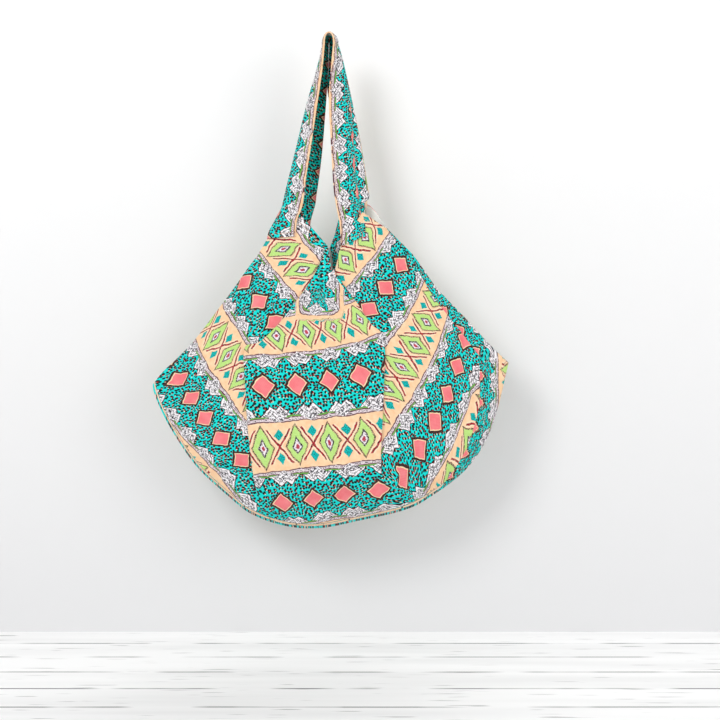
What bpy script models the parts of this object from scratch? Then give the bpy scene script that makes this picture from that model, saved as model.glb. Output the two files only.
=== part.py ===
"""Hobo shoulder bag of printed cotton, hanging by the fold of its wide strap.

Metres, +Z up, the front faces -Y, and the origin is where the strap bears on its peg.
An outline is a list of (across, down) points: across is a share of half the body's width,
and down is a share of the body's height below the strap's seams.
"""

import bpy
import numpy as np

COLLECTION = "hobo_shoulder_bag"

STRAP_DROP = 0.284  # from the peg down to the strap's seams
BODY_WIDTH = 0.505
BODY_HEIGHT = 0.414
BELLY_FRONT = 0.062  # how far the front bulges from the side seams
BELLY_BACK = 0.045
MOUTH_HALF_GAP = 0.016
CLOTH = 0.001
LINING_CLOTH = 0.0008
STRAP_CLOTH = 0.0024  # the strap is a flat tube, two cloths thick
PLEAT_LAYER = 0.0024  # one layer of a pleat to the next
PLEAT_BEND = 0.0009
FLAT_STEP = 0.002  # spacing of a pleat's columns where it has run out
SEAM_GAP = 0.0003
SEAM_CLEARANCE = 0.0006  # keeps the tilted edges of two panels apart
LINING_INSET = 0.0038
LINING_SIDE_INSET = 0.013
HEM_INSET = 0.0014  # the lining's distance from the panel at the hem
LINING_TOP, LINING_FLOOR = 0.015, 0.955  # shares of the rows where the lining starts and closes
HEM_ROW = 0.15  # the share of the rows by which the lining has its full distance
STRAP_REACH = 0.021  # the strap's edges from the middle of its width, over the peg
STRAP_SEAM_GAP = 0.0006

LEFT_EDGE = [
    (-0.352, 0.007), (-0.399, 0.057), (-0.470, 0.117), (-0.548, 0.185), (-0.633, 0.254),
    (-0.762, 0.357), (-0.869, 0.425), (-0.931, 0.460), (-0.976, 0.492), (-0.998, 0.510),
]
RIGHT_EDGE = [
    (0.323, -0.021), (0.385, 0.017), (0.462, 0.065), (0.531, 0.123), (0.605, 0.185),
    (0.745, 0.274), (0.858, 0.349), (0.936, 0.398), (1.000, 0.434),
]
BOTTOM = [
    (-0.998, 0.510), (-0.985, 0.545), (-0.912, 0.643), (-0.756, 0.786), (-0.565, 0.895),
    (-0.443, 0.952), (-0.260, 0.992), (-0.059, 1.000), (0.166, 0.974), (0.412, 0.939),
    (0.557, 0.895), (0.751, 0.806), (0.875, 0.700), (0.936, 0.597), (0.987, 0.467), (1.000, 0.434),
]
FRONT_TOP = [
    (-0.352, 0.007), (-0.160, -0.065), (-0.014, 0.038), (0.020, 0.070), (0.059, 0.034),
    (0.180, -0.079), (0.323, -0.021),
]
BACK_TOP = [
    (-0.352, 0.007), (-0.160, -0.065), (-0.010, 0.045), (0.059, -0.030), (0.180, -0.110),
    (0.256, -0.086), (0.323, -0.021),
]
LEFT_FOLD = [
    (-0.020, 0.038), (-0.048, 0.093), (-0.110, 0.165), (-0.183, 0.226), (-0.267, 0.295),
    (-0.385, 0.366), (-0.468, 0.386), (-0.464, 0.494), (-0.439, 0.700), (-0.391, 0.875), (-0.273, 1.010),
]
RIGHT_FOLD = [
    (0.020, 0.060), (0.024, 0.127), (0.056, 0.164), (0.143, 0.232), (0.219, 0.303),
    (0.295, 0.360), (0.290, 0.560), (0.275, 0.772), (0.295, 0.844), (0.330, 1.010),
]
LEFT_TIP, RIGHT_TIP = 0.875, 0.844  # how far down the pleats run out
PLEAT_SLOPE = 0.82  # how fast a pleat deepens above its tip
PLEAT_START = 0.006  # its depth where it begins
TIP_REACH = 0.015  # how far above its tip a pleat is folded, as a share of the height
PLEAT_LIMIT = 0.36  # of the middle panel's width

SEAM_ROWS = [0.0, 0.80, 0.88, 0.93, 0.97, 1.0]
SEAM_SHARES = [0.985, 0.985, 0.955, 0.904, 0.84, 0.79]  # how far across each row the right seam lies

STRAP_LEFT_END, STRAP_RIGHT_START, STRAP_RIGHT_END = -0.160, 0.075, 0.180
STRAP_CORNER_INSET = 0.03  # the strap starts this far in from the left seam, as a share across
STRAP_FOLD = 0.003  # how far the strap's outer fold stands out from its sewn arms
STRAP_SPREAD = 0.064  # how far the left leg's outer fold swings out at its lowest guide point
# Each leg from the peg down, as (share of the spread, share of the drop)
LEFT_NEAR = [
    (-0.133, 0.05), (-0.186, 0.18), (-0.297, 0.35), (-0.430, 0.55), (-0.555, 0.73), (-0.612, 0.845),
    (-0.714, 0.93),
]
LEFT_OUTER = [(-0.172, 0.05), (-0.266, 0.15), (-0.516, 0.35), (-0.781, 0.60), (-1.000, 0.80), (-1.086, 0.90)]
LEFT_FAR = [(-0.062, 0.05), (-0.078, 0.18), (-0.133, 0.37), (-0.219, 0.60), (-0.336, 0.80)]
RIGHT_NEAR = [(0.078, 0.05), (0.031, 0.17), (-0.016, 0.33), (0.031, 0.55), (0.097, 0.76)]
RIGHT_OUTER = [(0.164, 0.05), (0.258, 0.12), (0.422, 0.28), (0.641, 0.52), (0.852, 0.78)]
RIGHT_FAR = [(0.062, 0.05), (0.094, 0.17), (0.172, 0.35), (0.250, 0.55), (0.297, 0.76)]

ROWS = 22
WING_COLUMNS, UNDER_COLUMNS, MIDDLE_COLUMNS = 8, 3, 8
STRIP_COLUMNS = 5
LINING_ROWS, LINING_COLUMNS = 14, 16
STRAP_ARM_COLUMNS = 4
STRAP_LEG_ROWS, STRAP_TOP_ROWS = 16, 7
STRAP_TOP_SHARE = 0.05  # of the drop, where the legs leave the turn over the peg
STRAP_SEWN_SHARE = 0.84  # of the drop, where a leg starts to take the shape of its sewn end
BELLY_ROW = 0.72  # the share of the rows at which the belly is deepest


def smooth(share):
    share = np.clip(share, 0.0, 1.0)
    return share * share * (3 - 2 * share)


def rounded(points, steps=6):
    """The Catmull-Rom curve through the points."""
    given = np.array(points, float)
    ends = np.vstack([2 * given[0] - given[1], given, 2 * given[-1] - given[-2]])
    found = []
    for i in range(1, len(ends) - 2):
        before, start, stop, after = ends[i - 1:i + 3]
        for t in np.arange(steps) / steps:
            bend = (2 * before - 5 * start + 4 * stop - after) * t * t
            twist = (3 * start - before - 3 * stop + after) * t ** 3
            found.append(0.5 * (2 * start + (stop - before) * t + bend + twist))
    return np.array(found + [given[-1]])


def along(curve, share):
    """The point at this share of the curve's length."""
    lengths = np.concatenate([[0], np.cumsum(np.linalg.norm(np.diff(curve, axis=0), axis=1))])
    at = share * lengths[-1]
    return np.array([np.interp(at, lengths, curve[:, i]) for i in range(curve.shape[1])])


def down_at(curve, across):
    return np.interp(across, curve[:, 0], curve[:, 1])


def across_at(curve, down):
    return np.interp(down, curve[:, 1], curve[:, 0])


EDGES = rounded(LEFT_EDGE), rounded(RIGHT_EDGE)
BOTTOM_CURVE = rounded(BOTTOM)
TOPS = {"front": np.array(FRONT_TOP), "back": np.array(BACK_TOP)}
FOLDS = np.array(LEFT_FOLD), np.array(RIGHT_FOLD)
BELLY = {"front": BELLY_FRONT, "back": BELLY_BACK}
OUTWARD = {"front": -1.0, "back": 1.0}


def body_outline(share, row, side):
    """Where the body's surface lies at this share across this row, as (across, down)."""
    left, right = (along(edge, row) for edge in EDGES)
    across, down = left + (right - left) * share
    top, bottom = TOPS[side], BOTTOM_CURVE
    for curve, weight in ((top, (1 - row) ** 3), (bottom, row)):
        first, last = curve[0], curve[-1]
        place = first + (last - first) * share
        down += weight * (down_at(curve, place[0]) - place[1])
    return across, down


def half_depth(share, row, side):
    """How far the surface stands from the plane of the side seams."""
    full = BELLY[side]
    if row < BELLY_ROW:
        deep = MOUTH_HALF_GAP + (full - MOUTH_HALF_GAP) * smooth(row / BELLY_ROW)
    else:
        deep = full * (1 - ((row - BELLY_ROW) / (1 - BELLY_ROW)) ** 2.2) ** 0.5
    return deep * max(4 * share * (1 - share), 0.0) ** 0.6


def body_point(share, row, side, lift=0.0):
    across, down = body_outline(share, row, side)
    clearance = SEAM_CLEARANCE * max(1 - share, row ** 8)
    y = OUTWARD[side] * (half_depth(share, row, side) + lift + clearance)
    return across * BODY_WIDTH / 2, y, -STRAP_DROP - down * BODY_HEIGHT


def share_of_fold(fold, row, side):
    """The share across the row where it meets the fold's line."""
    low, high = 0.02, 0.98
    for _ in range(40):
        middle = (low + high) / 2
        across, down = body_outline(middle, row, side)
        if across < across_at(fold, down):
            low = middle
        else:
            high = middle
    return low


def row_width(row):
    left, right = (along(edge, row) for edge in EDGES)
    return (right[0] - left[0]) * BODY_WIDTH / 2


def eased(first, last, count, ease_first, ease_last):
    """Shares from first to last, closer together at an eased end."""
    start = 0.0 if ease_first else np.pi / 2
    stop = np.pi if ease_last else np.pi / 2
    if not (ease_first or ease_last):
        return np.linspace(first, last, count)
    turn = -np.cos(np.linspace(start, stop, count))
    return first + (last - first) * (turn - turn[0]) / (turn[-1] - turn[0])


def pleat(fold_share, tuck, width, folded, way):
    """A pleat's columns from the wing to the middle, as (share, lift). way is 1 on the left."""
    bend = PLEAT_BEND / width
    lifts = [0.0, 0.5] + [1.0] * UNDER_COLUMNS + [1.5]
    if not folded:
        flat = FLAT_STEP / width * np.arange(len(lifts), 0, -1)
        return [(fold_share - way * place, 0.0) for place in flat]
    places = [tuck, tuck + bend, *np.linspace(tuck, 0.0, UNDER_COLUMNS), -bend]
    return [(fold_share + way * place, PLEAT_LAYER * lift) for place, lift in zip(places, lifts)]


def pleated_row(row, side, first_share, last_share):
    """A whole row of a panel, from its left seam to its right, as (share, lift)."""
    width = row_width(row)
    left, right = (share_of_fold(fold, row, side) for fold in FOLDS)
    pleats, raised = [], []
    for fold_share, tip, way in ((left, LEFT_TIP, 1), (right, RIGHT_TIP, -1)):
        above = tip - body_outline(fold_share, row, side)[1]
        deep = PLEAT_START + PLEAT_SLOPE * above * BODY_WIDTH / 2
        folded = above > TIP_REACH
        pleats.append(pleat(fold_share, min(deep / width, PLEAT_LIMIT * (right - left)), width, folded, way))
        raised.append(2 * PLEAT_LAYER if folded else 0.0)
    from_left, from_right = pleats[0], pleats[1][::-1]
    columns = [(x, 0.0) for x in eased(first_share, from_left[0][0], WING_COLUMNS, True, False)[:-1]]
    columns += from_left
    columns += list(zip(np.linspace(left, right, MIDDLE_COLUMNS), np.linspace(*raised, MIDDLE_COLUMNS)))
    columns += from_right
    columns += [(x, 0.0) for x in eased(from_right[-1][0], last_share, WING_COLUMNS, False, True)[1:]]
    return columns


def seam_share(row):
    """Where the right seam runs: on the side at the top, and round on the front lower down."""
    return np.interp(row, SEAM_ROWS, SEAM_SHARES)


def panel_rows():
    """Row places from the top edge to the bottom seam, closer together at the bottom."""
    return 1 - (1 - np.linspace(0.0, 1.0, ROWS)) ** 1.35


def solid_sheet(name, grid, thickness, material, closed=False):
    """A sheet through a grid of points, made solid evenly about its middle."""
    rows, columns = len(grid), len(grid[0])
    points = [tuple(point) for line in grid for point in line]
    around = columns if closed else columns - 1
    faces = []
    for i in range(rows - 1):
        for j in range(around):
            after = (j + 1) % columns
            faces.append((i * columns + j, i * columns + after, (i + 1) * columns + after, (i + 1) * columns + j))
    mesh = bpy.data.meshes.new(name)
    mesh.from_pydata(points, [], faces)
    mesh.materials.append(material)
    for face in mesh.polygons:
        face.use_smooth = True
    sheet = bpy.data.objects.new(name, mesh)
    bpy.data.collections[COLLECTION].objects.link(sheet)
    thicken = sheet.modifiers.new("cloth", "SOLIDIFY")
    thicken.thickness = thickness
    thicken.offset = 0.0
    return sheet


def make_front_panel(material):
    grid = []
    for row in panel_rows():
        columns = pleated_row(row, "front", 0.0, seam_share(row))
        grid.append([body_point(share, row, "front", lift) for share, lift in columns])
    return solid_sheet("front_panel", grid, CLOTH, material)


def make_back_panel(material):
    """The back, whose cloth comes round the right edge to the seam on the front."""
    grid = []
    for row in panel_rows():
        line = [body_point(share, row, "back", lift) for share, lift in pleated_row(row, "back", 0.0, 1.0)]
        start = seam_share(row) + (SEAM_GAP + SEAM_CLEARANCE) / row_width(row)
        strip = eased(start, 1.0, STRIP_COLUMNS + 1, False, True)[:-1]
        line += [body_point(share, row, "front") for share in strip[::-1]]
        grid.append(line)
    return solid_sheet("back_panel", grid, CLOTH, material)


def lining_point(share, row, side):
    inset = HEM_INSET + (LINING_INSET - HEM_INSET) * smooth(row / HEM_ROW)
    x, y, z = body_point(share, row, side)
    return x, y - OUTWARD[side] * inset, z


def make_lining(material):
    """The white inner bag: an open pouch whose floor closes between the two panels."""
    grid = []
    for row in np.linspace(LINING_TOP, LINING_FLOOR, LINING_ROWS):
        inset = LINING_SIDE_INSET / row_width(row)
        shares = eased(inset, 1 - inset, LINING_COLUMNS, True, True)
        line = [lining_point(share, row, "front") for share in shares]
        line += [lining_point(share, row, "back") for share in shares[::-1]]
        grid.append(line)
    lowest = grid[-1]
    half = len(lowest) // 2
    middle = [
        tuple((np.array(lowest[min(i, 2 * half - 1 - i)]) + np.array(lowest[max(i, 2 * half - 1 - i)])) / 2)
        for i in range(2 * half)
    ]
    grid.append(middle)
    lining = solid_sheet("lining", grid, LINING_CLOTH, material, closed=True)
    weld = lining.modifiers.new("floor", "WELD")
    weld.merge_threshold = 0.0001
    lining.modifiers.move(1, 0)
    return lining


def strap_base(way):
    """The strap's sewn end: near edge to outer fold to far edge, just above the panels' top edges."""
    first, last = LEFT_EDGE[0][0], RIGHT_EDGE[0][0]
    inner, outer = (STRAP_LEFT_END, first + STRAP_CORNER_INSET) if way < 0 else (STRAP_RIGHT_START, STRAP_RIGHT_END)
    shares = [(across - first) / (last - first) for across in np.linspace(inner, outer, STRAP_ARM_COLUMNS)]
    near = [np.array(body_point(share, 0.0, "front")) for share in shares]
    far = [np.array(body_point(share, 0.0, "back")) for share in shares[::-1]]
    fold = (near[-1] + far[0]) / 2 + np.array([way * STRAP_FOLD, 0.0, 0.0])
    return [point + np.array([0.0, 0.0, STRAP_SEAM_GAP]) for point in near + [fold] + far]


def strap_leg(way):
    """Cross-sections of one leg, from just below the peg down to its seam."""
    curves = (LEFT_NEAR, LEFT_OUTER, LEFT_FAR) if way < 0 else (RIGHT_NEAR, RIGHT_OUTER, RIGHT_FAR)
    curves = [rounded(curve) * [STRAP_SPREAD, 1.0] for curve in curves]
    base = np.array(strap_base(way))
    spread = np.linspace(0.0, 1.0, len(base))
    found = []
    for share in np.linspace(STRAP_TOP_SHARE, 1.0, STRAP_LEG_ROWS):
        depth = share * base[:, 2] / -STRAP_DROP
        near, outer, far = (across_at(curve, depth) for curve in curves)
        middle = 2 * outer - (near + far) / 2
        across = near * (1 - spread) ** 2 + 2 * middle * spread * (1 - spread) + far * spread ** 2
        free = np.stack([across, STRAP_REACH * (2 * spread - 1), share * base[:, 2]], axis=1)
        sewn = np.stack([base[:, 0], base[:, 1], share * base[:, 2]], axis=1)
        blend = smooth((share - STRAP_SEWN_SHARE) / (1 - STRAP_SEWN_SHARE))
        found.append(free * (1 - blend) + sewn * blend)
    return found


def strap_sections():
    """Cross-sections of the strap from its left seam over the peg to its right seam."""
    left, right = strap_leg(-1), strap_leg(1)
    over = []
    for turn in np.linspace(0.0, np.pi, STRAP_TOP_ROWS + 2)[1:-1]:
        section = left[0] + (right[0] - left[0]) * (1 - np.cos(turn)) / 2
        rise = -section[:, 2] + STRAP_CLOTH / 2
        section[:, 2] += rise * np.sin(turn) ** 0.7
        over.append(section)
    return left[::-1] + over + right


def make_strap(material):
    return solid_sheet("shoulder_strap", strap_sections(), STRAP_CLOTH, material)


def make_material(name, colour, roughness):
    material = bpy.data.materials.new(name)
    material.use_nodes = True
    shader = material.node_tree.nodes["Principled BSDF"]
    shader.inputs["Base Color"].default_value = (*colour, 1.0)
    shader.inputs["Roughness"].default_value = roughness
    shader.inputs["Metallic"].default_value = 0.0
    material.diffuse_color = (*colour, 1.0)
    return material


def main():
    for old in list(bpy.data.objects):
        bpy.data.objects.remove(old, do_unlink=True)
    collection = bpy.data.collections.new(COLLECTION)
    bpy.context.scene.collection.children.link(collection)
    print_front = make_material("printed_cotton_front", (0.10, 0.45, 0.40), 0.9)
    print_back = make_material("printed_cotton_back", (0.12, 0.42, 0.38), 0.9)
    print_strap = make_material("printed_cotton_strap", (0.14, 0.40, 0.36), 0.9)
    white = make_material("white_cotton", (0.86, 0.86, 0.82), 0.92)
    make_front_panel(print_front)
    make_back_panel(print_back)
    make_lining(white)
    make_strap(print_strap)


main()
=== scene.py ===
import math

import bpy
import numpy as np
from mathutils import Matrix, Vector


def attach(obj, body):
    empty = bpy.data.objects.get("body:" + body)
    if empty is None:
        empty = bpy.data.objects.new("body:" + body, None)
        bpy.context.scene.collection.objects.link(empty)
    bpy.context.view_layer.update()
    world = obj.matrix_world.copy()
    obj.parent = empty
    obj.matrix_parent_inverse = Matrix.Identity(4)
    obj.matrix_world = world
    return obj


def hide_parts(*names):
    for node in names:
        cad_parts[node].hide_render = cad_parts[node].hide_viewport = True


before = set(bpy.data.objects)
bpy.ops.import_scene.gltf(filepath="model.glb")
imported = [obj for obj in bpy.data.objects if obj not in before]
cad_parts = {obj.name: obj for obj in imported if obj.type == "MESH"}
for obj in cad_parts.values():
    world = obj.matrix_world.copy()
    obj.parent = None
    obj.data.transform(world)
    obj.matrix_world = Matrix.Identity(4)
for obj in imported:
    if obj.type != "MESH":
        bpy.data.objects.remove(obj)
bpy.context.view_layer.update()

PIXEL = 0.00142  # metres to one pixel of the photo, in the plane of the side seams
PEG_AT = (330.5, 36.0)  # the origin's place in the photo

# The bag's shape, in metres, as the CAD makes it. An outline is (across, down), as shares.
STRAP_DROP = 0.284
BODY_WIDTH = 0.505
BODY_HEIGHT = 0.414
BELLY = {"front": 0.062, "back": 0.045}
OUTWARD = {"front": -1.0, "back": 1.0}
MOUTH_HALF_GAP = 0.016
CLOTH = 0.0009
STRAP_CLOTH = 0.0022
PLEAT_LAYER = 0.0024
PLEAT_BEND = 0.0009
FLAT_STEP = 0.0005
SEAM_GAP = 0.0001
SEAM_CLEARANCE = 0.0006
LINING_INSET = 0.0038
LINING_SIDE_INSET = 0.013
LINING_TOP_INSET = 0.004
HEM_INSET = 0.0014
STRAP_REACH = 0.021
STRAP_SEAM_GAP = 0.0006
BELLY_ROW = 0.72
BOTTOM_TAPER, BOTTOM_ROUND, SIDE_ROUND = 2.2, 0.5, 0.6  # powers that shape the belly
RIPPLE_BROAD, RIPPLE_NARROW = 0.0020, 0.0007

LEFT_EDGE = [
    (-0.352, 0.007), (-0.399, 0.057), (-0.470, 0.117), (-0.548, 0.185), (-0.633, 0.254),
    (-0.762, 0.357), (-0.869, 0.425), (-0.931, 0.460), (-0.976, 0.492), (-0.998, 0.510),
]
RIGHT_EDGE = [
    (0.323, -0.021), (0.385, 0.017), (0.462, 0.065), (0.531, 0.123), (0.605, 0.185),
    (0.745, 0.274), (0.858, 0.349), (0.936, 0.398), (1.000, 0.434),
]
BOTTOM = [
    (-0.998, 0.510), (-0.985, 0.545), (-0.912, 0.643), (-0.756, 0.786), (-0.565, 0.895),
    (-0.443, 0.952), (-0.260, 0.992), (-0.059, 1.000), (0.166, 0.974), (0.412, 0.939),
    (0.557, 0.895), (0.751, 0.806), (0.875, 0.700), (0.936, 0.597), (0.987, 0.467), (1.000, 0.434),
]
FRONT_TOP = [
    (-0.352, 0.007), (-0.160, -0.065), (-0.016, 0.036), (-0.004, 0.072), (0.003, 0.117),
    (0.028, 0.119), (0.042, 0.075), (0.059, 0.034), (0.180, -0.079), (0.323, -0.021),
]
BACK_TOP = [
    (-0.352, 0.007), (-0.160, -0.065), (-0.010, 0.045), (0.059, -0.030), (0.161, -0.121),
    (0.219, -0.108), (0.252, -0.086), (0.323, -0.021),
]
LEFT_FOLD = [
    (-0.020, 0.038), (-0.048, 0.093), (-0.110, 0.165), (-0.183, 0.226), (-0.267, 0.295),
    (-0.385, 0.366), (-0.468, 0.386), (-0.464, 0.494), (-0.439, 0.700), (-0.391, 0.875), (-0.273, 0.950),
    (-0.150, 1.030),
]
RIGHT_FOLD = [
    (0.020, 0.060), (0.024, 0.127), (0.056, 0.164), (0.143, 0.232), (0.219, 0.303),
    (0.295, 0.360), (0.290, 0.560), (0.275, 0.772), (0.295, 0.844), (0.330, 1.010),
]
LEFT_TIP, RIGHT_TIP = 0.875, 0.844
PLEAT_SLOPE = 0.82
PLEAT_START = 0.006
PLEAT_LIMIT = 0.36
PLEAT_FADE = 0.06  # how far above its tip a pleat flattens, as a share of the height
MIDDLE_PUFF, PUFF_REACH = 0.0022, 0.008
SEAM_ROWS = [0.0, 0.80, 0.88, 0.93, 0.97, 1.0]
SEAM_SHARES = [0.985, 0.985, 0.955, 0.904, 0.84, 0.79]

STRAP_LEFT_END, STRAP_RIGHT_START, STRAP_RIGHT_END = -0.118, 0.075, 0.150
# The share of the drop at which a leg starts to take the shape of its sewn end, on its front arm and behind
STRAP_SEWN_SHARES = {-1: (0.84, 0.84), 1: (0.80, 0.93)}
STRAP_FOLD = 0.003
LEFT_NEAR = [
    (-0.0085, 0.05), (-0.0119, 0.18), (-0.0190, 0.35), (-0.0275, 0.55), (-0.0355, 0.73), (-0.0392, 0.845),
    (-0.0457, 0.93),
]
LEFT_OUTER = [
    (-0.0110, 0.05), (-0.0170, 0.15), (-0.0330, 0.35), (-0.0500, 0.60), (-0.0640, 0.80), (-0.0695, 0.90),
]
LEFT_FAR = [(-0.0037, 0.05), (-0.0050, 0.18), (-0.0085, 0.37), (-0.0140, 0.60), (-0.0215, 0.80)]
RIGHT_NEAR = [
    (0.0050, 0.05), (0.0020, 0.17), (-0.0010, 0.33), (0.0020, 0.55), (0.0055, 0.76), (0.0087, 0.845),
    (0.0125, 0.935),
]
RIGHT_OUTER = [
    (0.0105, 0.05), (0.0165, 0.12), (0.0270, 0.28), (0.0410, 0.52), (0.0525, 0.77), (0.0550, 0.812),
    (0.0470, 0.862), (0.0480, 0.95),
]
RIGHT_FAR = [
    (-0.0012, 0.05), (-0.0026, 0.17), (-0.0035, 0.27), (0.0060, 0.40), (0.0150, 0.55), (0.0190, 0.76),
]
STRAP_TOP_SHARE = 0.05

ROWS = 170
ROW_CROWDING = 1.35  # above 1, rows stand closer towards the bottom
WING_COLUMNS, BEND_COLUMNS, UNDER_COLUMNS, MIDDLE_COLUMNS, STRIP_COLUMNS = 64, 5, 8, 72, 16


def smooth(share):
    share = np.clip(share, 0.0, 1.0)
    return share * share * (3 - 2 * share)


def rounded(points, steps=6):
    """The Catmull-Rom curve through the points."""
    given = np.array(points, float)
    ends = np.vstack([2 * given[0] - given[1], given, 2 * given[-1] - given[-2]])
    found = []
    for i in range(1, len(ends) - 2):
        before, start, stop, after = ends[i - 1:i + 3]
        for t in np.arange(steps) / steps:
            bend = (2 * before - 5 * start + 4 * stop - after) * t * t
            twist = (3 * start - before - 3 * stop + after) * t ** 3
            found.append(0.5 * (2 * start + (stop - before) * t + bend + twist))
    return np.array(found + [given[-1]])


def along(curve, share):
    lengths = np.concatenate([[0], np.cumsum(np.linalg.norm(np.diff(curve, axis=0), axis=1))])
    at = share * lengths[-1]
    return np.array([np.interp(at, lengths, curve[:, i]) for i in range(curve.shape[1])])


EDGES = rounded(LEFT_EDGE), rounded(RIGHT_EDGE)
BOTTOM_CURVE = rounded(BOTTOM)
TOPS = {"front": np.array(FRONT_TOP), "back": np.array(BACK_TOP)}
FOLDS = rounded(LEFT_FOLD, 4), rounded(RIGHT_FOLD, 4)


def body_outline(shares, row, side):
    """Where the body's surface lies at these shares across this row, as (across, down)."""
    left, right = (along(edge, row) for edge in EDGES)
    across = left[0] + (right[0] - left[0]) * shares
    down = left[1] + (right[1] - left[1]) * shares
    for curve, weight in ((TOPS[side], (1 - row) ** 3), (BOTTOM_CURVE, row)):
        first, last = curve[0], curve[-1]
        place = first[0] + (last[0] - first[0]) * shares
        line = first[1] + (last[1] - first[1]) * shares
        down = down + weight * (np.interp(place, curve[:, 0], curve[:, 1]) - line)
    return across, down


def half_depth(shares, row, side):
    full = BELLY[side]
    if row < BELLY_ROW:
        deep = MOUTH_HALF_GAP + (full - MOUTH_HALF_GAP) * smooth(row / BELLY_ROW)
    else:
        deep = full * max(1 - ((row - BELLY_ROW) / (1 - BELLY_ROW)) ** BOTTOM_TAPER, 0.0) ** BOTTOM_ROUND
    return deep * np.maximum(4 * shares * (1 - shares), 0.0) ** SIDE_ROUND


def ripple(across, down, side):
    """The soft dents of hanging cloth, outward, in metres."""
    x, z = across * BODY_WIDTH / 2, down * BODY_HEIGHT
    turn = 0.0 if side == "front" else 2.1
    broad = np.sin(58 * x + 31 * z + turn) * np.sin(49 * z - 22 * x + 1.3 * turn)
    narrow = np.sin(171 * x - 96 * z + turn + 0.7) * np.sin(143 * z + 88 * x)
    return RIPPLE_BROAD * broad + RIPPLE_NARROW * narrow


def body_points(shares, row, side, lifts=0.0):
    shares = np.asarray(shares, float)
    across, down = body_outline(shares, row, side)
    clearance = SEAM_CLEARANCE * np.maximum(1 - shares, row ** 8)
    free = smooth(shares * (1 - shares) * 7) * smooth((row - 0.10) / 0.2) * smooth((1 - row) / 0.12)
    out = half_depth(shares, row, side) + lifts + clearance + free * ripple(across, down, side)
    return np.stack([across * BODY_WIDTH / 2, OUTWARD[side] * out, -STRAP_DROP - down * BODY_HEIGHT], axis=-1)


def share_of_fold(fold, row, side):
    shares = np.linspace(0.02, 0.98, 400)
    across, down = body_outline(shares, row, side)
    gap = across - np.interp(down, fold[:, 1], fold[:, 0])
    crossing = np.argmax(gap > 0)
    if gap[0] > 0 or crossing == 0:
        return shares[0]
    low, high = gap[crossing - 1], gap[crossing]
    return shares[crossing - 1] + (shares[crossing] - shares[crossing - 1]) * (-low) / (high - low)


def row_width(row):
    left, right = (along(edge, row) for edge in EDGES)
    return (right[0] - left[0]) * BODY_WIDTH / 2


def eased(first, last, count, ease_first, ease_last):
    start = 0.0 if ease_first else np.pi / 2
    stop = np.pi if ease_last else np.pi / 2
    if not (ease_first or ease_last):
        return np.linspace(first, last, count)
    turn = -np.cos(np.linspace(start, stop, count))
    return first + (last - first) * (turn - turn[0]) / (turn[-1] - turn[0])


def pleat(tuck, width, fade):
    """A pleat's columns from the wing to the middle, as places from the fold and lifts in layers."""
    bend = PLEAT_BEND / width
    turn = np.linspace(-np.pi / 2, np.pi / 2, BEND_COLUMNS)
    places = np.concatenate([
        tuck + bend * np.cos(turn),
        np.linspace(tuck, 0.0, UNDER_COLUMNS)[1:-1],
        -bend * np.cos(turn),
    ])
    lifts = np.concatenate([
        0.5 + 0.5 * np.sin(turn),
        np.ones(UNDER_COLUMNS - 2),
        1.5 + 0.5 * np.sin(turn),
    ])
    flat = -FLAT_STEP / width * np.arange(len(places), 0, -1)
    return places * fade + flat * (1 - fade), lifts * fade


def pleated_row(row, side, first_share, last_share):
    """A row as shares, lifts and parts: 0 left wing, 1 pleat, 2 middle, 3 pleat, 4 right wing."""
    width = row_width(row)
    left, right = (share_of_fold(fold, row, side) for fold in FOLDS)
    made = []
    for fold_share, tip, way in ((left, LEFT_TIP, 1), (right, RIGHT_TIP, -1)):
        above = tip - body_outline(np.array([fold_share]), row, side)[1][0]
        fade = float(smooth(above / PLEAT_FADE))
        deep = PLEAT_START * fade + PLEAT_SLOPE * max(above, 0.0) * BODY_WIDTH / 2
        places, lifts = pleat(min(deep / width, PLEAT_LIMIT * (right - left)), width, fade)
        made.append((fold_share + way * places, lifts * PLEAT_LAYER, fade))
    (left_places, left_lifts, left_fade), (right_places, right_lifts, right_fade) = made
    right_places, right_lifts = right_places[::-1], right_lifts[::-1]
    wing_left = eased(first_share, left_places[0], WING_COLUMNS, True, False)[:-1]
    middle = np.linspace(left, right, MIDDLE_COLUMNS)
    wing_right = eased(right_places[-1], last_share, WING_COLUMNS, False, True)[1:]
    from_edge = np.minimum(middle - left, right - middle) * width
    raised = np.linspace(2 * PLEAT_LAYER * left_fade, 2 * PLEAT_LAYER * right_fade, MIDDLE_COLUMNS)
    puffed = raised + MIDDLE_PUFF * min(left_fade, right_fade) * (1 - np.exp(-from_edge / PUFF_REACH))
    shares = np.concatenate([wing_left, left_places, middle, right_places, wing_right])
    lifts = np.concatenate([
        np.zeros(len(wing_left)), left_lifts, puffed, right_lifts, np.zeros(len(wing_right)),
    ])
    parts = np.repeat([0, 1, 2, 3, 4], [
        len(wing_left), len(left_places), len(middle), len(right_places), len(wing_right),
    ])
    return shares, lifts, parts


def seam_share(row):
    return np.interp(row, SEAM_ROWS, SEAM_SHARES)


def panel_rows():
    return 1 - (1 - np.linspace(0.0, 1.0, ROWS)) ** ROW_CROWDING


# The cloth laid flat: a point's place on it is its place from the front, pushed out by what the bulge adds.
FLAT_SHARES = np.linspace(0.0, 1.0, 161)
FLAT_CENTRE, FLAT_ROW = 80, 0.6  # the column and the row that stay in place


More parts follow.
